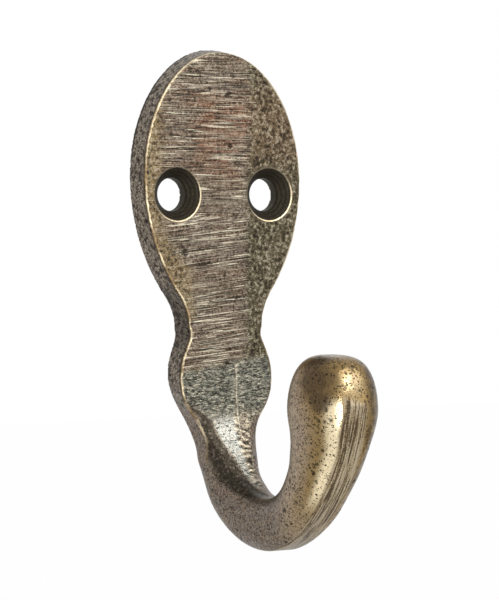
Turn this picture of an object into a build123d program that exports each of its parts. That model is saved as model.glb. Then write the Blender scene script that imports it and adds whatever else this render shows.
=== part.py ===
"""A single coat hook, cast in one piece: a waisted wall plate with two countersunk screw holes, a tongue
that leaves its lower lobe, and a round limb that turns up and swells into a bulb.

Millimetres. +Z is up and +X is to the right of someone facing the hook. The wall is the plane y = 0 and the
hook comes out of it along -Y. The origin lies on the back face, midway between the two screw holes.
"""
from build123d import *
from dataclasses import astuple, dataclass
import math
import os

# Plate
PLATE_THICKNESS = 3.55
WALL_DRAFT = 0.64        # the outline is this much larger all round at the back than at the front
OVAL_HALF_WIDTH = 13.9   # upper part of the front outline: the top half of an ellipse
OVAL_HALF_HEIGHT = 19.15
OVAL_CENTRE_Z = 2.3
SHOULDER_RADIUS = 29.2   # from the ellipse down towards the waist
FRONT_EDGE_RADIUS = 0.3
BACK_EDGE_RADIUS = 0.15

# Front outline below the oval: half widths at the waist, at the lobe's widest point and at the neck
WAIST_HALF_WIDTH = 6.48
WAIST_Z = -20.25
WAIST_RADIUS = 8.0
LOBE_HALF_WIDTH = 8.22
LOBE_Z = -27.9
LOBE_RADIUS = 9.2
NECK_HALF_WIDTH = 4.35
NECK_Z = -39.7
TONGUE_DRAFT = -0.35     # by the tongue the back has drawn in to less than the front

# Screw holes
HOLE_SPACING = 16.5
HOLE_RADIUS = 2.5
SINK_RADIUS = 4.05
SINK_ANGLE = 82.0

# Side view of the hook. The inner line starts on the plate's front face and the outer line on its back face.
# Each run is a radius with the degrees that it turns, or no radius and a straight length.
TONGUE_Z = -31.3         # both lines are straight from the waist down to here
INNER_RUNS = (
    (11.6, 25.0),        # bend from the plate into the tongue
    (33.5, 10.5),        # tongue
    (9.25, 54.5),        # inside of the bowl, down to its lowest point
    (9.25, 16.0),        # and up again
    (9.25, 51.0),
    (9.25, 21.0),
    (None, 4.95),        # inner side of the bulb
)
OUTER_RUNS = (
    (None, 6.2),         # back face of the lobe
    (15.8, 16.0),        # heel, where the hook leaves the wall
    (15.8, 74.0),        # under the bowl
    (15.8, 21.6),
    (24.0, 24.8),        # outside of the rising limb
    (43.1, 12.2),
    (16.8, 24.7),        # outer side of the bulb
)
SECTIONS_PER_RUN = (2, 3, 4, 2, 4, 3, 3)
LOBE_SECTIONS = 4        # between the waist and the tongue

# Bulb end: a blunt dome with a small flat on its tip
DOME_HEIGHT = 7.95
DOME_FULLNESS = 3.35     # 2 is an ellipse, larger is blunter
TIP_FLAT_RATIO = 0.3     # the flat's width in the width of the bulb
DOME_SECTIONS = 6

# Flat ground along the outside of the limb: its depth where the outer runs meet, from the heel to the bulb.
# It has run out to nothing behind the lowest point and a little above the bulb's widest place.
GRIND_DEPTHS = (-0.1, 0.13, 0.13, 0.15, 0.19, 0.25)
GRIND_END = Vector(2.6, 0.1)  # from the end of the outer line: onwards, and out of the metal
GRIND_REACH = 6.0        # more than the metal's width beside the flat

ROUND = 0.5523           # handle length that makes a Bezier curve a quarter circle
TOLERANCE = 0.01


@dataclass
class Shape:
    """Cross-section of the hook. Corner heights are shares of the side wall, and a bulge of 0 makes a
    corner a straight chamfer where ROUND makes it round."""
    half_width: float
    flare: float          # how much wider each side is at the outer edge than at the inner edge
    inner_flat: float     # half width of the flat on the inner side
    outer_flat: float     # half width of the flat on the outer side
    inner_corner: float
    outer_corner: float
    inner_bulge: float
    outer_bulge: float


# Sections at the ends of the runs
BEND_END = Shape(5.0, -0.3, 3.05, 2.8, 0.14, 0.25, 0.35, ROUND)
TONGUE_END = Shape(4.35, 0.0, 1.3, 1.8, 0.43, 0.42, 0.4, ROUND)
BOWL_BOTTOM = Shape(3.95, 0.0, 0.9, 0.9, 0.44, 0.46, ROUND, ROUND)
LIMB_START = Shape(3.75, 0.0, 0.9, 0.9, 0.46, 0.47, ROUND, ROUND)
LIMB_END = Shape(4.35, 0.0, 0.9, 0.9, 0.47, 0.48, ROUND, ROUND)
BULB_START = Shape(5.0, 0.0, 0.9, 0.9, 0.48, 0.49, ROUND, ROUND)
BULB = Shape(6.15, 0.0, 0.9, 0.9, 0.48, 0.49, ROUND, ROUND)


def double_arc(z, upper, lower, upper_radius):
    """Half width at height z on two tangent arcs between two points (half width, z) where the outline is
    upright. The upper arc has the given radius and the lower one takes what is left."""
    (upper_x, upper_z), (lower_x, lower_z) = upper, lower
    drop = upper_z - lower_z
    turn = 2 * math.atan2(abs(lower_x - upper_x), drop)
    lower_radius = drop / math.sin(turn) - upper_radius
    side = math.copysign(1, lower_x - upper_x)
    if z >= upper_z - upper_radius * math.sin(turn):
        return upper_x + side * (upper_radius - math.sqrt(upper_radius**2 - (upper_z - z)**2))
    return lower_x - side * (lower_radius - math.sqrt(lower_radius**2 - (z - lower_z)**2))


def front_half_width(z):
    """Half width of the front outline from the waist down to the neck."""
    waist, lobe = (WAIST_HALF_WIDTH, WAIST_Z), (LOBE_HALF_WIDTH, LOBE_Z)
    if z >= LOBE_Z:
        return double_arc(z, waist, lobe, WAIST_RADIUS)
    return double_arc(max(z, NECK_Z), lobe, (NECK_HALF_WIDTH, NECK_Z), LOBE_RADIUS)


def plate_outline(y, grow):
    """Face with the plate's outline above the waist, at depth y, grown by the given amount all round."""
    half_width, half_height = OVAL_HALF_WIDTH + grow, OVAL_HALF_HEIGHT + grow
    waist = WAIST_HALF_WIDTH + grow
    turn = 2 * math.atan2(OVAL_HALF_WIDTH - WAIST_HALF_WIDTH, OVAL_CENTRE_Z - WAIST_Z)
    shoulder = SHOULDER_RADIUS + grow
    shoulder_end = (half_width - shoulder * (1 - math.cos(turn)), OVAL_CENTRE_Z - shoulder * math.sin(turn))
    with BuildSketch(Plane.XZ.offset(-y)) as sketch:
        with BuildLine():
            EllipticalCenterArc((0, OVAL_CENTRE_Z), half_width, half_height, arc_size=90)
            TangentArc((half_width, OVAL_CENTRE_Z), shoulder_end, tangent=(0, -1))
            TangentArc((waist, WAIST_Z), shoulder_end, tangent=(0, 1))
            mirror(about=Plane.YZ)
            Line((-waist, WAIST_Z), (waist, WAIST_Z))
        make_face()
    return sketch.sketch


def make_plate():
    """Upper plate down to the waist, with its walls drafted and the edges of both faces rounded."""
    plate = loft([plate_outline(0, WALL_DRAFT), plate_outline(-PLATE_THICKNESS, 0)], ruled=True)
    front = plate.edges().filter_by_position(Axis.Y, -PLATE_THICKNESS, -PLATE_THICKNESS)
    plate = fillet(front.filter_by(lambda edge: edge.center().Z > WAIST_Z + TOLERANCE), FRONT_EDGE_RADIUS)
    back = plate.edges().filter_by_position(Axis.Y, 0, 0)
    return fillet(back.filter_by(lambda edge: edge.center().Z > WAIST_Z + TOLERANCE), BACK_EDGE_RADIUS)


def side_line(face_y, runs):
    """One line of the side view, as a list of edges whose X is the model's Y and whose Y is the model's Z.
    The first edge is the plate's own face, from the waist down to the tongue."""
    edges = [Line((face_y, WAIST_Z), (face_y, TONGUE_Z))]
    for radius, amount in runs:
        start, heading = edges[-1] @ 1, edges[-1] % 1
        if radius is None:
            edges.append(Line(start, start + heading * amount))
        else:
            edges.append(JernArc(start, heading, radius, -amount))
    return edges


def section(inner, outer, shape, size=1.0):
    """Face across the hook between a point of the inner line and one of the outer line."""
    across = inner - outer
    centre = (inner + outer) / 2
    towards_inner = Vector(0, across.X, across.Y).normalized()
    plane = Plane(Vector(0, centre.X, centre.Y), x_dir=(1, 0, 0), z_dir=Vector(1, 0, 0).cross(towards_inner))
    top = across.length / 2 * size
    inner_corner = Vector(shape.half_width * size, top)
    outer_corner = Vector((shape.half_width + shape.flare) * size, -top)
    wall = outer_corner - inner_corner
    inner_flat_end = Vector(shape.inner_flat * size, top)
    wall_start = inner_corner + wall * shape.inner_corner
    wall_end = outer_corner - wall * shape.outer_corner
    outer_flat_end = Vector(shape.outer_flat * size, -top)

    def rounded(start, corner, end, bulge):
        Bezier(start, start + (corner - start) * bulge, end + (corner - end) * bulge, end)

    with BuildSketch(plane) as sketch:
        with BuildLine():
            rounded(inner_flat_end, inner_corner, wall_start, shape.inner_bulge)
            Line(wall_start, wall_end)
            rounded(wall_end, outer_corner, outer_flat_end, shape.outer_bulge)
            mirror(about=Plane.YZ)
            Line((-inner_flat_end.X, top), inner_flat_end)
            Line((-outer_flat_end.X, -top), outer_flat_end)
        make_face()
    return sketch.sketch


def plate_shape(z):
    """Cross-section of the plate at height z, between the waist and the tongue."""
    half_width = front_half_width(z)
    lowered = (WAIST_Z - z) / (WAIST_Z - TONGUE_Z)
    flare = WALL_DRAFT + (TONGUE_DRAFT - WALL_DRAFT) * lowered**2
    inner_flat = half_width - FRONT_EDGE_RADIUS
    outer_flat = half_width + flare - BACK_EDGE_RADIUS
    inner_corner, outer_corner = FRONT_EDGE_RADIUS / PLATE_THICKNESS, BACK_EDGE_RADIUS / PLATE_THICKNESS
    return Shape(half_width, flare, inner_flat, outer_flat, inner_corner, outer_corner, ROUND, ROUND)


def between(first, second, share):
    """Shape part of the way between two others, eased at both."""
    eased = share * share * (3 - 2 * share)
    return Shape(*(a + (b - a) * eased for a, b in zip(astuple(first), astuple(second))))


def make_hook(waist_face, outer_line):
    """The hook from the waist down, through sections that start with the plate's own end face."""
    inner_line = side_line(-PLATE_THICKNESS, INNER_RUNS)
    sections = [waist_face]
    for step in range(1, LOBE_SECTIONS):
        share = step / LOBE_SECTIONS
        inner, outer = inner_line[0] @ share, outer_line[0] @ share
        sections.append(section(inner, outer, plate_shape(inner.Y)))
    shapes = [plate_shape(TONGUE_Z), BEND_END, TONGUE_END, BOWL_BOTTOM, LIMB_START, LIMB_END, BULB_START, BULB]
    for run, count in enumerate(SECTIONS_PER_RUN):
        for step in range(count):
            share = step / count
            inner, outer = inner_line[run + 1] @ share, outer_line[run + 1] @ share
            shape = between(shapes[run], shapes[run + 1], share)
            middle_z = (inner.Y + outer.Y) / 2
            falling = (inner_line[run + 1] % share).Y < 0
            if falling and middle_z > NECK_Z:
                shape.half_width = front_half_width(middle_z)
            sections.append(section(inner, outer, shape))
    sections += dome(inner_line[-1] @ 1, outer_line[-1] @ 1)
    return loft(sections)


def dome(inner, outer):
    """Sections of the bulb from its widest place to the flat on its tip."""
    across = inner - outer
    rise = Vector(across.Y, -across.X).normalized() * -DOME_HEIGHT
    last_turn = math.acos(TIP_FLAT_RATIO ** (DOME_FULLNESS / 2))
    sections = []
    for step in range(DOME_SECTIONS + 1):
        turn = last_turn * step / DOME_SECTIONS
        shift = rise * math.sin(turn)
        sections.append(section(inner + shift, outer + shift, BULB, math.cos(turn) ** (2 / DOME_FULLNESS)))
    return sections


def ground_away(outer_line):
    """What the grinder takes off the outside of the limb: all that lies outside one smooth line."""
    points, outside = [], []
    for edge, depth in zip(outer_line[-len(GRIND_DEPTHS) + 1:], GRIND_DEPTHS):
        outward = (edge % 0).rotate(Axis.Z, 90)
        points.append(edge @ 0 - outward * depth)
        outside.append(edge @ 0 + outward * GRIND_REACH)
    end, onward = outer_line[-1] @ 1, outer_line[-1] % 1
    outward = onward.rotate(Axis.Z, 90)
    points.append(end - outward * GRIND_DEPTHS[-1])
    points.append(end + onward * GRIND_END.X + outward * GRIND_END.Y)
    outside.append(end + onward * GRIND_END.X + outward * GRIND_REACH)
    with BuildPart() as tool:
        with BuildSketch(Plane.YZ):
            with BuildLine():
                Spline(*points)
                Polyline(points[-1], *reversed(outside), points[0])
            make_face()
        extrude(amount=GRIND_REACH, both=True)
    return tool.part


def make_coat_hook():
    plate = make_plate()
    outer_line = side_line(0, OUTER_RUNS)
    hook = make_hook(plate.faces().sort_by(Axis.Z)[0], outer_line)
    body = plate + hook - ground_away(outer_line)
    face = Plane.XZ.offset(PLATE_THICKNESS)
    screw_holes = face * GridLocations(HOLE_SPACING, 1, 2, 1) * CounterSinkHole(
        HOLE_RADIUS, SINK_RADIUS, PLATE_THICKNESS, SINK_ANGLE)
    return body - screw_holes


os.makedirs("parts", exist_ok=True)
coat_hook = make_coat_hook()
export_step(coat_hook, "parts/coat_hook.step")
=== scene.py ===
import math

import bmesh
import bpy
import numpy as np
from bpy.props import FloatProperty, FloatVectorProperty, IntProperty, PointerProperty
from mathutils import Matrix, Vector, noise
from mathutils.bvhtree import BVHTree
from mathutils.kdtree import KDTree


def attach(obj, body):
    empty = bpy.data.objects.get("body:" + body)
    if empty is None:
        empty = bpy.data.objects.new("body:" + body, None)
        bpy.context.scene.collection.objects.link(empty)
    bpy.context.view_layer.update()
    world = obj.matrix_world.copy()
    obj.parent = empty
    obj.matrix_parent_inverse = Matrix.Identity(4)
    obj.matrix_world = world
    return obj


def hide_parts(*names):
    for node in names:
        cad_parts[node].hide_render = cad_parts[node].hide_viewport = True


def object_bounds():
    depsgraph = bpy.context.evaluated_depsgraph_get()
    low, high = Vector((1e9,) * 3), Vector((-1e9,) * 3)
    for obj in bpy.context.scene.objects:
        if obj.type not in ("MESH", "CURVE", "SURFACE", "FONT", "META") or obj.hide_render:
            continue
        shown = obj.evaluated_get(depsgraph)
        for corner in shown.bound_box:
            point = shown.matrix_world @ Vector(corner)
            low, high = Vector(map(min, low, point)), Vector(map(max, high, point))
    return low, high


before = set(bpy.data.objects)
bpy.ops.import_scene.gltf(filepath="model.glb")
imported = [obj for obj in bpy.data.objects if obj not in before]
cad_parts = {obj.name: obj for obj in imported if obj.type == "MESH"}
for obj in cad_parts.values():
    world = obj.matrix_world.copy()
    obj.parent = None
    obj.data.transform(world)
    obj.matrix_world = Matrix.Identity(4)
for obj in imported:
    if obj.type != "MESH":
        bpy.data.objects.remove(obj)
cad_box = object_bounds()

bl_info = {
    "name": "Coat hook",
    "version": (1, 0),
    "blender": (4, 5, 0),
    "location": "View3D > Sidebar > Coat hook",
    "description": "A small coat hook cast in bronze, ground and darkened with age",
    "category": "Object",
}

MM = 0.001


def size(name, description, default):
    """A length."""
    return FloatProperty(name=name, description=description, default=default, unit="LENGTH", precision=5)


def share(name, description, default):
    """A share, from 0 to 1."""
    return FloatProperty(name=name, description=description, default=default, min=0.0, max=1.0)


def power(name, description, default):
    """The power of a lamp."""
    return FloatProperty(name=name, description=description, default=default, min=0.0, unit="POWER")


def colour(name, description, default):
    """A colour, as red, green and blue from 0 to 1."""
    return FloatVectorProperty(name=name, description=description, default=default, subtype="COLOR",
                               size=3, min=0.0, max=1.0)


class HookSurface(bpy.types.PropertyGroup):
    """Shape of the cast and ground metal, over the drawn shape."""
    spacing: size("Mesh spacing", "Distance between neighbouring points of the mesh", 0.24 * MM)
    swell: size("Swell", "Slow unevenness that sand casting leaves", 0.05 * MM)
    grain: size("Grain", "Height of the grain on the cast skin", 0.045 * MM)
    wrinkle: size("Wrinkle", "Height of the wrinkled skin on the lower lobe", 0.09 * MM)
    pits: IntProperty(name="Pits", default=520,
                      description="Number of pits in the limb, the bulb and the walls")
    face_pits: IntProperty(name="Face pits", default=130,
                           description="Number of pits in the front of the plate")
    pit_depth: size("Pit depth", "Depth of a middling pit", 0.07 * MM)
    pit_width: size("Pit width", "Radius of a middling pit", 0.17 * MM)
    chatter: size("Chatter", "Height of the ridges that the grinder left on the tongue", 0.1 * MM)
    lip: size("Lip", "Height of the small ridge across the foot of the tongue", 0.12 * MM)
    hollow: size("Hollow", "Depth of the hollow in the bevel beside the tongue", 0.1 * MM)
    seam: size("Seam", "Height of the parting seam down the lobe", 0.09 * MM)
    rings: size("Rings", "Height of the turning rings in the screw holes", 0.03 * MM)


class HookFinish(bpy.types.PropertyGroup):
    """Colours of the aged metal, and of the highlights and shade painted on it."""
    skin: colour("Cast skin", "Grey-brown skin of the walls and the bowl", (0.185, 0.15, 0.122))
    skin_warm: colour("Warm skin", "Redder skin that lies in patches on the limb", (0.21, 0.15, 0.105))
    skin_pale: colour("Pale skin", "Lighter skin on the rising limb and the bulb", (0.37, 0.28, 0.19))
    # Near black for pits and grain, and also painted shade: the waist of the walls, a shadow line at their
    # back, the troughs between the tongue's ridges, the left side of the lobe's seam and one side of its folds.
    soot_and_shade: colour("Soot", "Near black that fills pits and grain", (0.022, 0.018, 0.014))
    margin: colour("Margin", "Granular brown metal beside the ground band", (0.1, 0.083, 0.05))
    lobe: colour("Lobe", "Grey-green wrinkled skin of the lower lobe", (0.14, 0.142, 0.115))
    ground: colour("Ground band", "Metal of the ground band, between its scratches", (0.135, 0.1, 0.07))
    # Also paints highlights: the right side of the lobe's seam, the tops of its ridges and one side of its
    # folds.
    bright: colour("Bright metal", "Bottoms of fresh scratches and tops of the grain", (0.56, 0.5, 0.38))
    copper: colour("Copper blush", "Reddish patches of the ground band", (0.19, 0.088, 0.05))
    gold: colour("Worn gold", "Metal where hands and coats have worn it", (0.27, 0.182, 0.078))
    # Pale gold paints worn edges, and also painted highlights: the strip beside the ground flat, the crown of
    # the bulb, the upper front edge of the plate and the lower right of the sink rims.
    pale_gold: colour("Pale gold", "Brightest worn metal, beside the ground flat", (0.9, 0.76, 0.5))
    # The tongue's pale metal is made paler in part as a painted highlight.
    pale: colour("Pale metal", "Bright metal of the tongue", (0.37, 0.37, 0.33))
    facet: colour("Ground flat", "Metal of the flat ground along the limb", (0.31, 0.235, 0.135))
    # Tarnish also paints shade: the dark patches and the top of the bulb, and the right side of the limb.
    tarnish: colour("Tarnish", "Dark brown patches on the bulb", (0.075, 0.05, 0.03))
    # Near black in the holes and at the tongue's foot, and painted shade on the bevel by the tongue.
    recess_and_shade: colour("Recess", "Tarnish in the holes and on the bevel by the tongue", (0.036, 0.031, 0.021))
    roughness: share("Roughness", "Roughness of the cast skin", 0.4)
    fine_relief: size("Fine relief", "Depth of the finest grain and scratches", 0.08 * MM)


class Studio(bpy.types.PropertyGroup):
    """Stage, lamps and camera."""
    room: share("Room light", "Brightness of the room on matt surfaces", 0.8)
    paper: share("Paper white", "How much of the floor is plain white to the camera", 0.96)
    floor_drop: size("Floor drop", "Height of the hook above the floor", 0.12)
    overhead: power("Overhead lamp", "Power of the high soft lamp in front", 0.7)
    side: power("Side lamp", "Power of the level soft lamp on the right", 0.15)
    front: power("Front lamp", "Power of the small lamp that shines in the bulb", 1.0)
    tall: power("Tall lamp", "Power of the narrow upright lamp on the left", 0.4)


class Value:
    """A socket of a shader. An expression on values adds the Math nodes that work it out."""

    def __init__(self, shader, socket):
        self.shader = shader
        self.socket = socket

    def math(self, operation, *values):
        return self.shader.add("ShaderNodeMath", {"operation": operation}, values)

    def __add__(self, other):
        return self.math("ADD", self, other)

    def __radd__(self, other):
        return self.math("ADD", other, self)

    def __sub__(self, other):
        return self.math("SUBTRACT", self, other)

    def __rsub__(self, other):
        return self.math("SUBTRACT", other, self)

    def __mul__(self, other):
        return self.math("MULTIPLY", self, other)

    def __rmul__(self, other):
        return self.math("MULTIPLY", other, self)

    def at_least(self, other):
        return self.math("MAXIMUM", self, other)

    def at_most(self, other):
        return self.math("MINIMUM", self, other)

    def root(self):
        return self.math("SQRT", self)

    def contrast(self, factor):
        """The value with its distance from a half multiplied by the factor."""
        return (self - 0.5) * factor + 0.5

    def step(self, low, high):
        """0 below low, 1 above high and smooth between them; low may be the greater."""
        return self.shader.add("ShaderNodeMapRange", {"interpolation_type": "SMOOTHSTEP"},
                               {"Value": self, "From Min": low, "From Max": high})

    def band(self, low, low_full, high_full, high):
        """1 from low_full to high_full, falling smoothly to 0 at low and at high."""
        return self.step(low, low_full) * self.step(high, high_full)

    def near_zero(self, reach):
        """1 at 0, falling smoothly to 0 at the given distance on either side."""
        return self.band(-reach, 0.0, 0.0, reach)


class Shader:
    """The nodes of a material or a world."""

    def __init__(self, owner):
        self.owner = owner
        owner.use_nodes = True
        self.tree = owner.node_tree
        self.tree.nodes.clear()
        place = self.add("ShaderNodeTexCoord", {}, {}, "Object")
        self.place = self.add("ShaderNodeVectorMath", {"operation": "SCALE"}, {0: place, "Scale": 1 / MM})

    def add(self, kind, settings, sockets, output=0):
        """Adds a node, sets it, gives its sockets their values or links, and returns one of its outputs."""
        node = self.tree.nodes.new(kind)
        for name, value in settings.items():
            setattr(node, name, value)
        pairs = sockets.items() if isinstance(sockets, dict) else enumerate(sockets)
        for key, value in pairs:
            if isinstance(value, Value):
                self.tree.links.new(value.socket, node.inputs[key])
            else:
                node.inputs[key].default_value = value
        return Value(self, node.outputs[output]) if node.outputs else None

    def attribute(self, name):
        return self.add("ShaderNodeAttribute", {"attribute_name": name}, {}, "Fac")

    def mix(self, amount, first, second):
        """Colour that goes from first to second as the amount goes from 0 to 1."""
        first, second = (c if isinstance(c, Value) else (*c, 1.0) for c in (first, second))
        return self.add("ShaderNodeMix", {"data_type": "RGBA"}, {0: amount, 6: first, 7: second}, 2)

    def stretched(self, scales, turn=0.0, shift=0.0):
        """Place in millimetres, turned about Y, shifted, and multiplied along each axis."""
        vector = self.add("ShaderNodeMapping", {"vector_type": "POINT"},
                          {"Vector": self.place, "Location": (shift, shift * 1.7, shift * 2.3),
                           "Rotation": (0.0, turn, 0.0)})
        return self.add("ShaderNodeVectorMath", {"operation": "MULTIPLY"}, {0: vector, 1: scales})

    def noise(self, scales, detail=2.0, roughness=0.5, turn=0.0, shift=0.0):
        """Noise from 0 to 1 about 0.5, with scales in cells for each millimetre."""
        return self.add("ShaderNodeTexNoise", {"noise_dimensions": "3D"},
                        {"Vector": self.stretched(scales, turn, shift), "Scale": 1.0, "Detail": detail,
                         "Roughness": roughness}, "Fac")

    def cells(self, scale, shift=0.0):
        """Distance from the nearest of scattered points, with their number for each millimetre."""
        return self.add("ShaderNodeTexVoronoi", {"feature": "F1"},
                        {"Vector": self.stretched((scale,) * 3, 0.0, shift), "Scale": 1.0}, "Distance")


class HookMesh:
    """Points and normals of the visible hook, in millimetres, and what the finish needs to know of them."""

    def __init__(self, mesh):
        self.mesh = mesh
        points = np.empty(len(mesh.vertices) * 3, np.float32)
        mesh.vertices.foreach_get("co", points)
        self.points = points.reshape(-1, 3).astype(float) / MM
        edges = np.empty(len(mesh.edges) * 2, np.int32)
        mesh.edges.foreach_get("vertices", edges)
        self.edges = edges.reshape(-1, 2)
        normals = np.empty(len(mesh.vertices) * 3, np.float32)
        mesh.vertex_normals.foreach_get("vector", normals)
        self.normals = normals.reshape(-1, 3).astype(float)

    def blurred(self, values, rounds):
        """Each point's value averaged with its neighbours' values, a number of times."""
        first, second = self.edges.T
        count = 1.0 + np.bincount(self.edges.ravel(), minlength=len(values))
        for _ in range(rounds):
            total = values.copy()
            columns = total.reshape(len(total), -1)
            old = values.reshape(len(values), -1)
            for k in range(columns.shape[1]):
                columns[:, k] += np.bincount(first, old[second, k], len(values))
                columns[:, k] += np.bincount(second, old[first, k], len(values))
            values = total / (count if values.ndim == 1 else count[:, None])
        return values

    def bulge(self, rounds):
        """How far each point stands proud of the average of the points round it, in millimetres."""
        return np.einsum("ij,ij->i", self.points - self.blurred(self.points, rounds), self.normals)

    def noise(self, frequency, shift, stretch=(1.0, 1.0, 1.0)):
        """Gradient noise from about -1 to 1 at each point, in cells for each millimetre."""
        offset = Vector((shift, shift * 1.3, shift * 2.1))
        scaled = self.points * np.array(stretch) * frequency
        return np.array([noise.noise(Vector(p) + offset) for p in scaled])

    def near(self, place, radius):
        """1 at a place, falling smoothly to 0 at the given distance from it."""
        return smooth_step(radius, 0.0, np.linalg.norm(self.points - np.array(place), axis=1))

    def store(self, name, values):
        attribute = self.mesh.attributes.new(name, "FLOAT", "POINT")
        attribute.data.foreach_set("value", np.clip(values, 0, 1).astype(np.float32))


def smooth_step(low, high, values):
    """0 below low, 1 above high and smooth between them; low may be the greater."""
    t = np.clip((values - low) / (high - low), 0.0, 1.0)
    return t * t * (3 - 2 * t)


def band(values, low, low_full, high_full, high):
    """1 from low_full to high_full, falling smoothly to 0 at low and at high."""
    return smooth_step(low, low_full, values) * smooth_step(high, high_full, values)


# Places on the hook, in millimetres: x to the right, y negative to the front, z up.
HOLE_X = 8.25
SINK_RADIUS = 4.05
PLATE_FRONT = -3.55
FLAT_BACK = -0.06                  # metal behind this is the flat back, which stays smooth
BAND_END = (-26.0, -25.2)          # z of the ragged lower end of the ground band
BAND_END_SLOPE = 0.14              # its rise for each millimetre to the right
TONGUE_START = (-35.4, -32.4)      # z over which the wrinkled lobe turns into the bright tongue
SEAM_X = 1.55
SEAM_TOP = -25.4
SEAM_FOOT = -37.5
LIP_Z = -43.0                      # height of the small ridge across the foot of the tongue
TONGUE_FACING = (-0.86, 0.5)       # y and z of the way the tongue faces
BOWL_START = (-15.5, -12.5)        # y over which the tongue turns into the bowl
BOWL_MIDDLE = (-15.26, -36.1)      # y and z of the middle of the bowl
# The tongue narrows downwards. At each height, the distances from its middle to the bevel on its left, to
# the far side of that bevel, and to the edge of the tongue on its right.
TONGUE_HEIGHTS = (-46.0, -44.5, -43.0, -41.5, -40.0, -38.1, -37.1, -34.6, -33.5, -32.0, -31.0)
TONGUE_LEFT = (-1.5, -0.2, 0.2, 0.5, 0.8, 1.8, 2.2, 3.0, 4.2, 6.5, 20.0)
BEVEL_END = (1.8, 3.2, 3.9, 4.0, 4.4, 4.8, 4.9, 4.9, 5.2, 7.0, 20.0)
TONGUE_RIGHT = (1.9, 2.0, 2.1, 2.3, 2.6, 2.8, 3.0, 4.0, 5.3, 7.5, 20.0)
FACET_LEFT = -2.85
FACET_RIGHT = 1.4
# The crown is a painted highlight, paler metal where the bulb catches the lamps.
CROWN_HIGHLIGHT = (-0.8, -37.5, -27.9)       # brightest place of the bulb
CROWN_HIGHLIGHT_RADIUS = 3.0
# Places and radii of the patches of painted shade on the left of the bulb, and of the four large pits below
# them.
BULB_SHADE_PATCHES = (((-4.3, -34.2, -27.4), 5.0), ((-3.6, -33.0, -25.2), 4.0), ((-5.0, -35.2, -30.4), 2.8))
LARGE_PITS = (((-4.5, -36.2, -31.6), 0.45), ((-5.2, -35.2, -33.2), 0.4), ((-4.7, -36.0, -33.3), 0.35),
              ((-4.1, -36.6, -33.1), 0.45))
LARGE_PIT_DEPTH = 0.22
SMALLEST_PIT = 0.14                # radius
PIT_SEED = 11
SCRATCH_SLOPE = 0.1                # slope of the scratches on the lower half of the plate, in radians
WALL_FOOT = (-33.0, -31.0)         # z over which the walls of the plate give way to the sides of the tongue
# What each point of the mesh stores, from 0 to 1. face is the front of the plate and the tongue, and lobe and
# tongue are its lower parts. bevel and crease lie to the left of the tongue; the bevel is painted dark as
# shade. facet is the flat ground along the limb, the strip and rim are the metal to its left and right, and
# worn is all of the outer side.
# The patches of painted shade and the crown, a painted highlight, are the dark and the bright places of the
# bulb. edge, pit, seam and the gullies mark relief; seam also carries painted highlights on ridge tops, and the
# gullies painted shade.
MASKS = ("face", "wall", "hole", "bevel", "crease", "facet", "strip", "worn", "rim", "lobe", "tongue",
         "tarnish", "crown", "edge", "pit", "seam", "gully")


def plate_regions(hook):
    """Masks of the plate and the tongue, from where each point lies and which way it faces."""
    x, y, z = hook.points.T
    nx, ny, nz = hook.normals.T
    lean = nz * TONGUE_FACING[1] + ny * TONGUE_FACING[0]
    from_hole = np.hypot(np.abs(x) - HOLE_X, z)
    in_hole = (from_hole < SINK_RADIUS + 0.12) & (y > PLATE_FRONT - 0.05) & (y < -0.05)
    hole = in_hole * smooth_step(0.97, 0.9, -ny)

    before_bowl = smooth_step(*BOWL_START, y)
    left = smooth_step(-0.2, 0.2, -x - np.interp(z, TONGUE_HEIGHTS, TONGUE_LEFT))
    right = smooth_step(-0.4, 0.4, x - np.interp(z, TONGUE_HEIGHTS, TONGUE_RIGHT))
    forward = smooth_step(0.78, 0.92, np.maximum(-ny, lean))
    face = forward * before_bowl * smooth_step(-46.5, -44.5, z) * (1 - hole)
    face *= (1 - left) * (1 - right)
    bevel = left * smooth_step(0.4, -0.4, -x - np.interp(z, TONGUE_HEIGHTS, BEVEL_END)) * before_bowl
    bevel *= smooth_step(0.15, 0.3, lean) * smooth_step(-47.5, -45.8, z)
    crease = band(lean, 0.0, 0.1, 0.2, 0.34) * smooth_step(-0.3, -0.5, nx)
    crease *= band(z, -42.5, -39.0, -32.5, -31.0) * before_bowl

    sideways = np.hypot(nx, nz)
    wall = smooth_step(0.3, 0.7, sideways) * smooth_step(*WALL_FOOT, z) * (y > PLATE_FRONT - 0.65)
    wall *= (1 - hole) * (1 - np.clip(face + bevel, 0, 1))
    return {"hole": hole, "face": face, "bevel": bevel, "crease": crease, "wall": wall}


def limb_regions(hook):
    """Masks of the outer side of the limb and the bulb: the ground flat, the strip beside it that is painted as
    a highlight, the rim on its right, and the wear on the outer side.
    """
    x, y, z = hook.points.T
    nx, ny, nz = hook.normals.T
    outward = np.stack((y - BOWL_MIDDLE[0], z - BOWL_MIDDLE[1]))
    outward /= np.linalg.norm(outward, axis=0)
    away = ny * outward[0] + nz * outward[1]
    out = smooth_step(0.3, 0.7, away) * smooth_step(-12.0, -18.0, y)
    facet = smooth_step(0.55, 0.45, np.abs(nx)) * out * smooth_step(-30.0, -31.2, z + 0.3 * x)
    facet *= band(x, FACET_LEFT - 0.2, FACET_LEFT + 0.2, FACET_RIGHT - 0.3, FACET_RIGHT + 0.4)
    strip = band(nx, -0.88, -0.7, -0.3, -0.16) * out * band(z, -47.5, -43.0, -31.5, -29.5)
    strip *= smooth_step(-20.0, -27.0, y)
    worn = smooth_step(-0.1, 0.6, away) * smooth_step(-18.0, -34.0, y)
    worn *= 0.4 + 0.6 * smooth_step(-50.0, -42.0, z)
    rim = out * smooth_step(FACET_RIGHT, FACET_RIGHT + 1.2, x)
    return {"facet": facet, "strip": strip, "worn": worn, "rim": rim}


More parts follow.
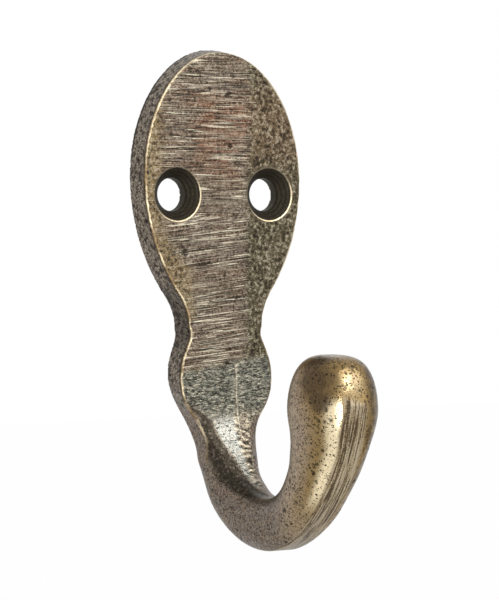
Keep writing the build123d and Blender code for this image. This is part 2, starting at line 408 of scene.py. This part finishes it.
def press_pits(hook, rng, count, where, width, depth):
    """Pits pressed into the metal at random points of the given mask. Returns how deep each point went."""
    chosen = rng.choice(np.flatnonzero(where > 0.5), count, replace=False)
    tree = KDTree(len(hook.points))
    for index, point in enumerate(hook.points):
        tree.insert(point, index)
    tree.balance()
    pressed = np.zeros(len(hook.points))
    for index in chosen:
        scale = math.exp(rng.normal(0, 0.35))
        radius = max(width * scale, SMALLEST_PIT)
        deepest = depth * scale * rng.uniform(0.6, 1.4)
        for _, near, distance in tree.find_range(hook.points[index], radius):
            pressed[near] = max(pressed[near], deepest * (1 - (distance / radius)**2))
    return pressed


def strongest(hook, spots):
    """1 at each of the given spots, falling smoothly to 0 at its radius."""
    total = np.zeros(len(hook.points))
    for place, radius in spots:
        total = np.maximum(total, hook.near(place, radius))
    return total


def make_surface(mesh, settings):
    """Gives the smooth hook its cast skin, pits and ridges, and stores the masks for its finish."""
    hook = HookMesh(mesh)
    masks = {**plate_regions(hook), **limb_regions(hook)}
    x, y, z = hook.points.T
    face, wall, hole, facet, bevel = (masks[k] for k in ("face", "wall", "hole", "facet", "bevel"))
    shaped = (y <= FLAT_BACK).astype(float)
    limb = np.clip(1 - face - wall - hole - bevel, 0, 1)
    edge = hook.bulge(3)
    slow, grain, wavy = hook.noise(0.18, 3.0), hook.noise(1.5, 5.0), hook.noise(0.5, 6.0)
    wrinkle = hook.noise(1.2, 4.0, (0.8, 0.6, 1.7))

    ragged = wavy * 0.5 + grain * 0.35
    tongue = smooth_step(*TONGUE_START[::-1], z + ragged * 2.0)
    lobe = face * smooth_step(*BAND_END[::-1], z - x * BAND_END_SLOPE + ragged) * (1 - tongue)
    tongue = face * tongue
    seam_x = SEAM_X + 0.14 * hook.noise(0.9, 2.0)
    seam = np.exp(-((x - seam_x) / 0.24)**2) * band(z, SEAM_FOOT, SEAM_FOOT + 1.5, SEAM_TOP - 0.8, SEAM_TOP)
    seam *= face * smooth_step(-0.35, 0.1, hook.noise(1.3, 12.0))
    bars = np.sin(z * 6.3 + wavy * 5.0 + x * 1.1) + grain * 0.9
    bars *= smooth_step(0.7, 1.1, x) * band(z, -43.6, -42.0, -34.6, -33.2)
    bars *= tongue * smooth_step(0.0, 0.4, np.interp(z, TONGUE_HEIGHTS, TONGUE_RIGHT) - x)
    lip = np.exp(-((z - LIP_Z + 0.12 * x) / 0.16)**2) * smooth_step(-0.9, -0.2, x) * face

    height = slow * settings.swell / MM * (1 - 0.8 * hole)
    height += grain * settings.grain / MM * (0.3 * limb + wall + 0.35 * face) * (1 - facet) * (1 - tongue)
    height += wrinkle * settings.wrinkle / MM * lobe
    height += bars * settings.chatter / MM + lip * settings.lip / MM
    height += seam * settings.seam / MM
    height -= bevel * settings.hollow / MM * smooth_step(*WALL_FOOT[::-1], z)
    height += np.sin(y * 12.0) * settings.rings / MM * hole

    rng = np.random.default_rng(PIT_SEED)
    width, depth = settings.pit_width / MM, settings.pit_depth / MM
    skin = np.clip(limb + wall, 0, 1) * (1 - facet) * shaped
    pits = press_pits(hook, rng, settings.pits, skin, width, depth)
    face_pits = press_pits(hook, rng, settings.face_pits, face * (1 - tongue), width * 1.2, depth)
    pits = np.maximum(pits, strongest(hook, LARGE_PITS) * LARGE_PIT_DEPTH)
    pits = np.maximum(pits, face_pits)
    masks.update(lobe=lobe, tongue=tongue)
    hook.points += hook.normals * ((height - pits) * shaped)[:, None]
    mesh.vertices.foreach_set("co", (hook.points * MM).astype(np.float32).ravel())
    mesh.update()

    masks["tarnish"] = strongest(hook, BULB_SHADE_PATCHES)
    masks["crown"] = hook.near(CROWN_HIGHLIGHT, CROWN_HIGHLIGHT_RADIUS) * (1 - facet)
    for name, values in masks.items():
        hook.store(name, hook.blurred(values, 1))
    hook.store("edge", smooth_step(0.015, 0.08, edge))
    hook.store("pit", smooth_step(0.01, 0.06, pits))
    # The tops of the seam, the lip and the tongue's ridges are stored for painted highlights, and the troughs
    # between the ridges for painted shade.
    hook.store("seam", np.clip(seam + lip + np.clip(bars, 0, 1) * 0.8, 0, 1))
    hook.store("gully", np.clip(-bars, 0, 1))


def even_mesh(source, spacing):
    """The CAD node's shape as a mesh of even quads that lie on its surface."""
    copy = bpy.data.objects.new("coat_hook_even", source.data.copy())
    bpy.context.scene.collection.objects.link(copy)
    remesh = copy.modifiers.new("Even", "REMESH")
    remesh.mode = "VOXEL"
    remesh.voxel_size = spacing
    depsgraph = bpy.context.evaluated_depsgraph_get()
    mesh = bpy.data.meshes.new_from_object(copy.evaluated_get(depsgraph))
    surface = BVHTree.FromPolygons([v.co for v in source.data.vertices],
                                   [p.vertices for p in source.data.polygons])
    for vertex in mesh.vertices:
        place = surface.find_nearest(vertex.co)[0]
        if place is not None:
            vertex.co = place
    bpy.data.objects.remove(copy)
    mesh.update()
    for polygon in mesh.polygons:
        polygon.use_smooth = True
    return mesh


class Metal(Shader):
    """Shader of the hook's metal: its finish, the masks of its parts, and the noises that the parts share."""

    def __init__(self, finish):
        super().__init__(bpy.data.materials.new("aged_bronze"))
        self.finish = finish
        (self.face, self.wall, self.hole, self.bevel, self.crease, self.facet, self.strip, self.worn,
         self.rim, self.lobe, self.tongue, self.tarnish, self.crown, self.edge, self.pit, self.seam,
         self.gully) = (self.attribute(name) for name in MASKS)
        axes = self.add("ShaderNodeSeparateXYZ", {}, {0: self.place}, "X").socket.node.outputs
        self.x, self.y, self.z = (Value(self, axes[k]) for k in range(3))
        self.fine = self.noise((6.0, 6.0, 6.0), 1.0)
        self.grain = self.noise((3.0, 3.0, 3.0), 2.0, 0.6, shift=2.0)
        self.mottle = self.noise((0.9, 0.9, 0.9), 2.0, shift=3.0)
        self.cloud = self.noise((0.25, 0.25, 0.25), 3.0, shift=7.0)
        self.wavy = self.noise((1.1, 1.1, 3.8), 3.0, 0.6, shift=14.0)
        coarse = self.noise((1.9, 1.9, 1.9), 3.0, 0.65, shift=23.0)
        self.speckle = (self.grain * 0.55 + self.fine * 0.45).contrast(3.2)
        self.lumps = (coarse * 0.6 + self.grain * 0.25 + self.fine * 0.15).contrast(4.2)
        self.relief = (self.wavy * 0.6 + self.grain * 0.25 + self.fine * 0.15).contrast(4.6)
        self.dots = self.pinholes()

    def pinholes(self):
        """Small dark dots of two sizes."""
        size = self.noise((0.8, 0.8, 0.8), 1.0, shift=2.0)
        large = (self.cells(1.7, shift=5.0) - size * 0.5 + 0.06).step(0.06, 0.0)
        small = (self.cells(2.9, shift=9.0) - self.mottle * 0.5 + 0.02).step(0.08, 0.0)
        return large.at_least(small * 0.85)

    def tones(self, amount, middle, dark_share, bright_share, dark=None, bright=None):
        """Colour from dark through middle to bright as the amount goes from 0 to 1: soot and bright metal,
        unless others are given."""
        dark = self.finish.soot_and_shade if dark is None else dark
        bright = self.finish.bright if bright is None else bright
        below = self.mix(amount.step(0.46, 0.2) * dark_share, middle, dark)
        return self.mix(amount.step(0.6, 0.86) * bright_share, below, bright)

    def streaks(self, scales, detail, shift):
        """Noise for scratches, level on the upper half of the plate and rising to the right on the lower."""
        low = self.z.step(1.0, -8.0)
        level = self.noise(scales, detail, 0.6, 0.0, shift)
        rising = self.noise(scales, detail, 0.6, SCRATCH_SLOPE, shift + 4.0)
        return level * (1 - low) + rising * low


def ground_band(s):
    """Colour of the coarsely ground front, how much of each place the grinder reached, and its relief."""
    finish = s.finish
    lines = s.streaks((0.05, 1.0, 3.0), 1.0, 1.0) + (s.fine - 0.5) * 0.06
    broad = s.streaks((0.07, 1.0, 1.0), 2.0, 8.0)
    shades = s.streaks((0.24, 1.0, 5.2), 1.0, 11.0)
    sharp = s.streaks((0.14, 1.0, 1.1), 2.0, 15.0).step(0.4, 0.6)
    cut = lines.band(0.46, 0.48, 0.51, 0.53)
    burr = lines.band(0.52, 0.54, 0.57, 0.6)

    tone = s.mix(broad.step(0.4, 0.62) * 0.6, finish.ground, finish.skin)
    blush = s.noise((0.13, 0.13, 0.2), 2.0, shift=6.0)
    above_holes = s.z.band(0.0, 7.0, 12.0, 17.0) * s.x.step(-8.0, -3.0)
    tone = s.mix(blush.step(0.36, 0.58) * (above_holes * 0.72 + 0.2), tone, finish.copper)
    marks = (shades * 0.42 + s.grain * 0.4 + s.fine * 0.18).contrast(4.6)
    scratched = s.tones(marks, tone, 0.9, 0.36)
    scratched = s.mix(burr * (sharp * 0.5 + 0.35), scratched, finish.soot_and_shade)
    lower_end = s.z.step(-17.0, -23.0)
    scratched = s.mix(cut * (sharp * 0.8 + lower_end * 0.5 + 0.2).at_most(1), scratched, finish.bright)

    ragged = (shades - 0.5) * 5.0 + (s.grain - 0.5) * 2.5
    right_end = (s.x - s.z * 0.035 + ragged).step(4.9, 3.9)
    left_limit = s.z.step(-5.0, -13.0) * 5.2 - s.z.step(-18.0, -22.0) * 5.0 - 10.9
    left_end = (s.x + ragged * 0.8 - left_limit).step(-1.4, 1.4) * 0.75 + 0.25
    bottom_end = (s.z - s.x * BAND_END_SLOPE + ragged * 0.12).step(*BAND_END)
    return scratched, right_end * left_end * bottom_end, shades * 0.6 - cut * 0.4 + burr * 0.3


def granular_margin(s):
    """Granular metal beside the ground band, more golden to the left and a little red at the upper right."""
    tone = s.mix(s.x.step(3.0, -6.0) * 0.55, s.finish.margin, s.finish.gold)
    reddened = s.z.band(2.0, 8.0, 13.0, 19.0) * s.x.step(2.0, 4.0) * 0.22
    tone = s.mix(reddened, tone, s.finish.copper)
    return s.tones(s.lumps, tone, 0.9, 0.38)


def wrinkled_lobe(s):
    """Grey-green skin with fine folds that run across, each painted with a dark line of shade beside a bright
    line of highlight.
    """
    fold = s.noise((0.5, 0.5, 2.8), 2.0, 0.6, shift=17.0)
    skin = s.tones(s.relief, s.finish.lobe, 0.85, 0.44)
    # Painted shade and highlight: a dark line beside a bright line along each fold.
    skin = s.mix(fold.band(0.53, 0.56, 0.59, 0.63) * 0.7, skin, s.finish.soot_and_shade)
    return s.mix(fold.band(0.48, 0.495, 0.515, 0.53) * 0.5, skin, s.finish.bright)


def bright_tongue(s):
    """Pale flecked metal on the left of the tongue, paler in part as a painted highlight, torn brown metal on
    its right, and patchy darkening towards its foot.
    """
    flecks = (s.wavy * 0.5 + s.speckle * 0.17 - 0.335) * 3.6 + 0.54
    metal = s.tones(flecks, s.finish.pale, 0.95, 0.6)
    torn = (s.x - 0.9 + (s.wavy - 0.5) * 3.0).step(-0.3, 0.4)
    metal = s.mix(torn * 0.9, metal, s.tones(s.relief.contrast(1.8), s.finish.skin_pale, 1.0, 0.7))
    return s.mix(s.z.step(-38.0, -43.0) * s.wavy.step(0.6, 0.45) * 0.6, metal, s.finish.recess_and_shade)


def plate_front(s, scratched, reached):
    """Front of the plate from the ground band down to the foot of the tongue, with its seam, painted with shade
    on the seam's left and highlights on its right and on the tops of the seam, the lip and the ridges, and with
    painted shade in the troughs between the tongue's ridges.
    """
    finish = s.finish
    front = s.mix(reached, granular_margin(s), scratched)
    middle_line = (s.x + 0.7 + (s.mottle - 0.5) * 1.4).near_zero(0.35)
    front = s.mix(middle_line * s.grain.step(0.46, 0.56) * s.z.step(-9.0, -6.0) * 0.5, front, finish.soot_and_shade)
    front = s.mix(s.lobe, front, wrinkled_lobe(s))
    front = s.mix(s.tongue, front, bright_tongue(s))
    # Painted shade in the troughs between the ridges of the tongue.
    front = s.mix(s.gully * 0.9, front, finish.soot_and_shade)
    # Painted shade along the left of the seam and a painted highlight along its right.
    from_seam = s.x - SEAM_X + (s.mottle - 0.5) * 0.5
    from_seam = from_seam * s.z.band(SEAM_FOOT, SEAM_FOOT + 1, SEAM_TOP - 1, SEAM_TOP)
    front = s.mix((from_seam + 0.18).near_zero(0.16) * 0.8, front, finish.soot_and_shade)
    seam_highlight = s.z.band(SEAM_FOOT, SEAM_FOOT + 0.5, SEAM_TOP - 0.4, SEAM_TOP) * s.grain.step(0.4, 0.5)
    seam_highlight = seam_highlight * (from_seam - 0.1).near_zero(0.12)
    front = s.mix(seam_highlight * 0.9, front, finish.bright)
    # Painted highlights on the tops of the seam, the lip and the tongue's ridges.
    return s.mix(s.seam * 0.5, front, finish.bright)


def limb_skin(s):
    """Cast skin of the bowl, the limb and the bulb, worn to gold on its outer side, with dark patches and a
    dark top on the bulb that are painted shade, tarnish mottles over painted shade on the limb's right side,
    and painted highlights on the strip beside the ground flat and on the bulb's crown.
    """
    finish = s.finish
    rising = (s.y * -1).step(20.0, 27.0)
    skin = s.mix(s.mottle.step(0.42, 0.62) * 0.7, finish.skin, finish.skin_warm)
    skin = s.mix(rising * 0.9, skin, finish.skin_pale)
    skin = s.tones(s.speckle, skin, 0.65, 0.28)
    skin = s.mix((s.worn * 1.4 + (s.cloud - 0.5) * s.worn.step(0.0, 0.4)).at_most(1), skin, finish.gold)
    skin = s.mix(s.worn * (s.speckle.step(0.35, 0.1) * 0.5), skin, finish.tarnish)
    # Tarnish mottles on the right side of the limb, over painted shade that darkens all of that side.
    skin = s.mix(s.rim * (s.mottle.step(0.35, 0.6) * 0.5 + 0.35), skin, finish.tarnish)
    # Painted highlight on the strip beside the ground flat and on the crown of the bulb.
    skin = s.mix(s.strip.at_least(s.crown * 0.3) * (s.speckle * 0.4 + 0.75), skin, finish.pale_gold)
    # Painted shade on the top of the bulb.
    bulb_top_shade = (s.z + (s.mottle - 0.5) * 1.2).step(-24.6, -23.4) * rising
    skin = s.mix(bulb_top_shade * 0.9, skin, finish.tarnish)
    # Painted shade in dark patches on the left of the bulb.
    uneven = (s.mottle - 0.5) * 0.5 + (s.cloud - 0.5) * 0.8 + (s.speckle - 0.5) * 0.15
    shade_patches = (s.tarnish + uneven * s.tarnish.step(0.0, 0.3)).step(0.0, 0.85)
    skin = s.mix(shade_patches * 0.85, skin, finish.tarnish)
    return s.mix(s.dots * 0.85, skin, finish.soot_and_shade)


def plate_skin(s, skin):
    """The given skin, with that of the plate's walls and back over it, painted shade across the walls' waist,
    and a painted shadow line at their corner.
    """
    finish = s.finish
    blots = s.noise((1.4, 1.4, 1.4), 3.0, 0.6, shift=21.0)
    walls = s.tones(s.speckle, s.mix(0.08, finish.skin, finish.bright), 0.85, 0.5)
    walls = s.mix(blots.step(0.5, 0.4) * 0.8, walls, finish.soot_and_shade)
    # Painted shade across the waist of the walls.
    walls = s.mix(s.z.band(-26.0, -22.0, -16.0, -12.0) * 0.5, walls, finish.soot_and_shade)
    skin = s.mix(s.wall, skin, walls)
    # Blotchy tarnish on the back, and on the last 0.3 mm of the walls a painted shadow at the back corner.
    skin = s.mix(s.y.step(-0.3, -0.1) * blots.step(0.56, 0.4) * 0.6, skin, finish.tarnish)
    # A painted shadow line along the back of the walls, in the upper part of the plate.
    back_shadow_line = s.y.step(-0.7, -0.45) * s.wall.step(0.02, 0.2) * s.z.step(3.0, 9.0)
    return s.mix(back_shadow_line * 0.9, skin, finish.soot_and_shade)


def ground_flat(s, along):
    """Metal of the flat along the limb, scored along its length."""
    flat = s.tones((along * 0.75 + s.fine * 0.25).contrast(6.0), s.finish.facet, 0.95, 0.55, s.finish.tarnish)
    return s.mix(s.y.step(-33.0, -24.0) * 0.3, flat, s.finish.tarnish)


def sink_rim_highlight(s):
    """Thin line round the mouth of each screw hole, with a painted highlight that makes it brightest at its
    lower right.
    """
    across = s.add("ShaderNodeMath", {"operation": "ABSOLUTE"}, [s.x]) - HOLE_X
    side = s.x.step(-0.1, 0.1) * 2 - 1
    from_rim = (across * across + s.z * s.z).root() - SINK_RADIUS
    turned = (across * side * 0.5 - s.z * 0.85) * (1 / SINK_RADIUS)
    ring = from_rim.band(-0.12, 0.0, 0.06, 0.2)
    return ring * (turned.step(-0.2, 0.8) * 0.85 + 0.15) * s.y.step(-3.2, -3.4)


def bright_edges(s, base):
    """The given colour, with worn edges: the front edge of the plate, paler towards the top as a painted
    highlight, and the holes, darkened, with their rims carrying a painted highlight.
    """
    finish = s.finish
    base = s.mix(s.wall.step(0.75, 0.95) * s.y.step(-2.95, -3.2) * 0.75, base, finish.tarnish)
    line = s.wall.band(0.12, 0.35, 0.65, 0.9) * s.y.step(-2.8, -3.1) * s.z.step(-33.0, -30.0)
    line = line.at_least(s.edge * s.z.step(-30.0, -33.0)) * (1 - s.hole)
    # Painted highlight: the worn front edge is paler towards the top.
    tone = s.mix(s.cloud.step(0.42, 0.56) * s.z.step(17.0, 8.0), finish.pale_gold, finish.gold)
    base = s.mix(line * (s.grain * 0.6 + 0.35), base, tone)
    base = s.mix(s.hole * 0.92, base, finish.recess_and_shade)
    # Painted highlight on the rims of the holes, brightest at their lower right.
    return s.mix(sink_rim_highlight(s) * 0.85, base, finish.pale_gold)


def aged_bronze(finish):
    """Aged cast bronze: granular skin, a ground band of fine scratches, pits, and wear on edges and bulb, with
    painted highlights and shade on the bulb, the limb, the bevel, the seam, the ridges, the folds and the back
    of the walls.
    """
    s = Metal(finish)
    scratched, reached, lines = ground_band(s)
    along = s.noise((4.0, 0.16, 0.16), 2.0, 0.6, shift=12.0)
    base = s.mix(s.face, plate_skin(s, limb_skin(s)), plate_front(s, scratched, reached))
    # Painted shade on the bevel beside the tongue.
    base = s.mix(s.bevel * 0.96, base, s.tones(s.lumps, finish.recess_and_shade, 0.8, 0.5, bright=finish.skin))
    base = s.mix(s.crease * 0.6, base, finish.gold)
    base = s.mix(s.facet, base, ground_flat(s, along))
    base = s.mix(s.pit * 0.8, bright_edges(s, base), finish.soot_and_shade)

    grainy = (s.face.at_least(s.wall) * 0.28 + 0.03) * (1 - s.facet)
    height = s.speckle * grainy + s.relief * s.lobe * 0.4 + lines * reached * s.face * 0.8
    height = height + along * s.facet * 0.5 - s.dots * 0.8
    normal = s.add("ShaderNodeBump", {}, {"Strength": 1.0, "Distance": finish.fine_relief, "Height": height})
    rough = s.mottle * 0.16 + (finish.roughness - 0.08) - s.worn * 0.12 - s.strip * 0.05
    rough = rough + s.hole * 0.15 + s.pit * 0.2
    bsdf = s.add("ShaderNodeBsdfPrincipled", {},
                 {"Base Color": base, "Metallic": 1.0, "Roughness": rough, "Normal": normal})
    s.add("ShaderNodeOutputMaterial", {}, {"Surface": bsdf})
    return s.owner


class HOOK_OT_cast_hook(bpy.types.Operator):
    """Make the visible cast hook over the CAD hook, with its skin, pits, ridges and aged finish"""
    bl_idname = "coat_hook.cast_hook"
    bl_label = "Cast hook"

    def execute(self, context):
        settings = context.scene.hook_surface
        mesh = even_mesh(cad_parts["coat_hook"], settings.spacing)
        make_surface(mesh, settings)
        mesh.materials.clear()
        mesh.materials.append(aged_bronze(context.scene.hook_finish))
        piece = bpy.data.objects.new("cast_hook", mesh)
        context.scene.collection.objects.link(piece)
        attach(piece, "root")
        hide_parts("coat_hook")
        return {"FINISHED"}


# The camera, as degrees, metres and pixels of the photograph.
PHOTO_AZIMUTH = -33.211
PHOTO_ELEVATION = 0.407
PHOTO_ROLL = 0.963
PHOTO_DISTANCE = 434.03 * MM
PHOTO_AIM = Vector((0.0, -3.555, 0.0)) * MM   # place between the two screw holes, on the front of the plate
AIM_PIXEL = (224.07, 194.17)                  # where that point lies in the 499 x 600 picture
PICTURE = (499, 600)
FOCAL_PIXELS = 2864.57
SENSOR = 36.0                                 # width, in millimetres
FLOOR_SIZE = 2.5
# Each lamp: the setting for its power, the way from the hook to it (azimuth and elevation), its distance,
# its width and its height.
LAMPS = {
    "overhead_lamp": ("overhead", 22.0, 45.0, 0.5, 0.42, 0.28),
    "side_lamp": ("side", 33.0, 4.0, 0.6, 0.2, 0.2),
    "front_lamp": ("front", 12.0, 30.0, 0.5, 0.34, 0.2),
    "tall_lamp": ("tall", -22.0, -9.0, 0.35, 0.06, 0.2),
}


def direction(azimuth, elevation):
    """Unit vector towards a place; azimuth 0 is in front of the hook, and right of it is positive."""
    a, e = math.radians(azimuth), math.radians(elevation)
    return Vector((math.sin(a) * math.cos(e), -math.cos(a) * math.cos(e), math.sin(e)))


def add_lamp(name, target, azimuth, elevation, distance, width, height, watts):
    """Soft rectangular lamp that faces the hook."""
    light = bpy.data.lights.new(name, "AREA")
    light.shape = "RECTANGLE"
    light.size = width
    light.size_y = height
    light.energy = watts
    lamp = bpy.data.objects.new(name, light)
    away = direction(azimuth, elevation)
    lamp.location = target + away * distance
    lamp.rotation_mode = "QUATERNION"
    lamp.rotation_quaternion = away.to_track_quat("Z", "Y")
    bpy.context.scene.collection.objects.link(lamp)


def add_camera():
    """Camera that sees the hook as the photograph does."""
    back = direction(PHOTO_AZIMUTH, PHOTO_ELEVATION)
    level_right = Vector((0.0, 0.0, 1.0)).cross(back).normalized()
    level_up = back.cross(level_right)
    roll = math.radians(PHOTO_ROLL)
    right = level_right * math.cos(roll) - level_up * math.sin(roll)
    up = level_right * math.sin(roll) + level_up * math.cos(roll)
    aside = (AIM_PIXEL[0] - PICTURE[0] / 2) / FOCAL_PIXELS * PHOTO_DISTANCE
    above = (PICTURE[1] / 2 - AIM_PIXEL[1]) / FOCAL_PIXELS * PHOTO_DISTANCE
    camera = bpy.data.objects.new("camera", bpy.data.cameras.new("camera"))
    place = PHOTO_AIM + back * PHOTO_DISTANCE - right * aside - up * above
    camera.matrix_world = Matrix.Translation(place) @ Matrix((right, up, back)).transposed().to_4x4()
    camera.data.sensor_width = SENSOR
    camera.data.lens = FOCAL_PIXELS / PICTURE[1] * SENSOR
    camera.data.clip_start = 0.01
    bpy.context.scene.collection.objects.link(camera)
    bpy.context.scene.camera = camera


def plain_view(s):
    """1 for what the camera sees, directly, in a reflection or through glass, and 0 for the rest."""
    outputs = s.add("ShaderNodeLightPath", {}, {}).socket.node.outputs
    kinds = ("Camera", "Glossy", "Transmission")
    camera, glossy, through = (Value(s, outputs[f"Is {kind} Ray"]) for kind in kinds)
    return camera.at_least(glossy).at_least(through)


def paper_floor(studio):
    """Pale paper: close to plain white to the camera, and matt under the lamps, so that it takes a shadow."""
    s = Shader(bpy.data.materials.new("pale_paper"))
    fibre = s.noise((0.4, 0.4, 0.4), 3.0)
    tone = s.mix(fibre, (0.93, 0.93, 0.93), (0.97, 0.97, 0.97))
    matt = s.add("ShaderNodeBsdfDiffuse", {}, {"Color": tone})
    white = s.add("ShaderNodeEmission", {}, {"Strength": 1.0})
    surface = s.add("ShaderNodeMixShader", {}, {0: plain_view(s) * studio.paper, 1: matt, 2: white})
    s.add("ShaderNodeOutputMaterial", {}, {"Surface": surface})
    return s.owner


def white_room(studio):
    """World that is plain white to the camera and in metal, and a little dimmer on matt surfaces."""
    s = Shader(bpy.data.worlds.new("white_room"))
    strength = plain_view(s) * (1 - studio.room) + studio.room
    background = s.add("ShaderNodeBackground", {}, {"Color": (1.0, 1.0, 1.0, 1.0), "Strength": strength})
    s.add("ShaderNodeOutputWorld", {}, {"Surface": background})
    return s.owner


class HOOK_OT_studio(bpy.types.Operator):
    """Set up the pale floor, the white room, the lamps and the camera"""
    bl_idname = "coat_hook.studio"
    bl_label = "Studio"

    def execute(self, context):
        scene = context.scene
        studio = scene.hook_studio
        low, high = cad_box
        middle = (low + high) / 2
        scene.world = white_room(studio)
        sheet = bmesh.new()
        bmesh.ops.create_grid(sheet, x_segments=2, y_segments=2, size=FLOOR_SIZE)
        mesh = bpy.data.meshes.new("floor")
        sheet.to_mesh(mesh)
        sheet.free()
        mesh.materials.append(paper_floor(studio))
        floor = bpy.data.objects.new("floor", mesh)
        floor.location = (0.0, 0.0, low.z - studio.floor_drop)
        scene.collection.objects.link(floor)
        for name, (setting, *placing) in LAMPS.items():
            add_lamp(name, middle, *placing, getattr(studio, setting))
        add_camera()
        scene.view_settings.view_transform = "Standard"
        return {"FINISHED"}


class HOOK_PT_panel(bpy.types.Panel):
    """Sizes, colours and steps of the coat hook"""
    bl_label = "Coat hook"
    bl_idname = "HOOK_PT_panel"
    bl_space_type = "VIEW_3D"
    bl_region_type = "UI"
    bl_category = "Coat hook"

    def draw(self, context):
        scene = context.scene
        for operator in OPERATORS:
            self.layout.operator(operator.bl_idname)
        for group in (scene.hook_surface, scene.hook_finish, scene.hook_studio):
            box = self.layout.box()
            for name in group.__annotations__:
                box.prop(group, name)


OPERATORS = (HOOK_OT_cast_hook, HOOK_OT_studio)
GROUPS = {"hook_surface": HookSurface, "hook_finish": HookFinish, "hook_studio": Studio}
CLASSES = (*GROUPS.values(), *OPERATORS, HOOK_PT_panel)


def register():
    for kind in CLASSES:
        bpy.utils.register_class(kind)
    for name, group in GROUPS.items():
        setattr(bpy.types.Scene, name, PointerProperty(type=group))


def unregister():
    for name in GROUPS:
        delattr(bpy.types.Scene, name)
    for kind in reversed(CLASSES):
        bpy.utils.unregister_class(kind)


def main():
    register()
    bpy.ops.coat_hook.cast_hook()
    bpy.ops.coat_hook.studio()


if __name__ == "__main__":
    main()
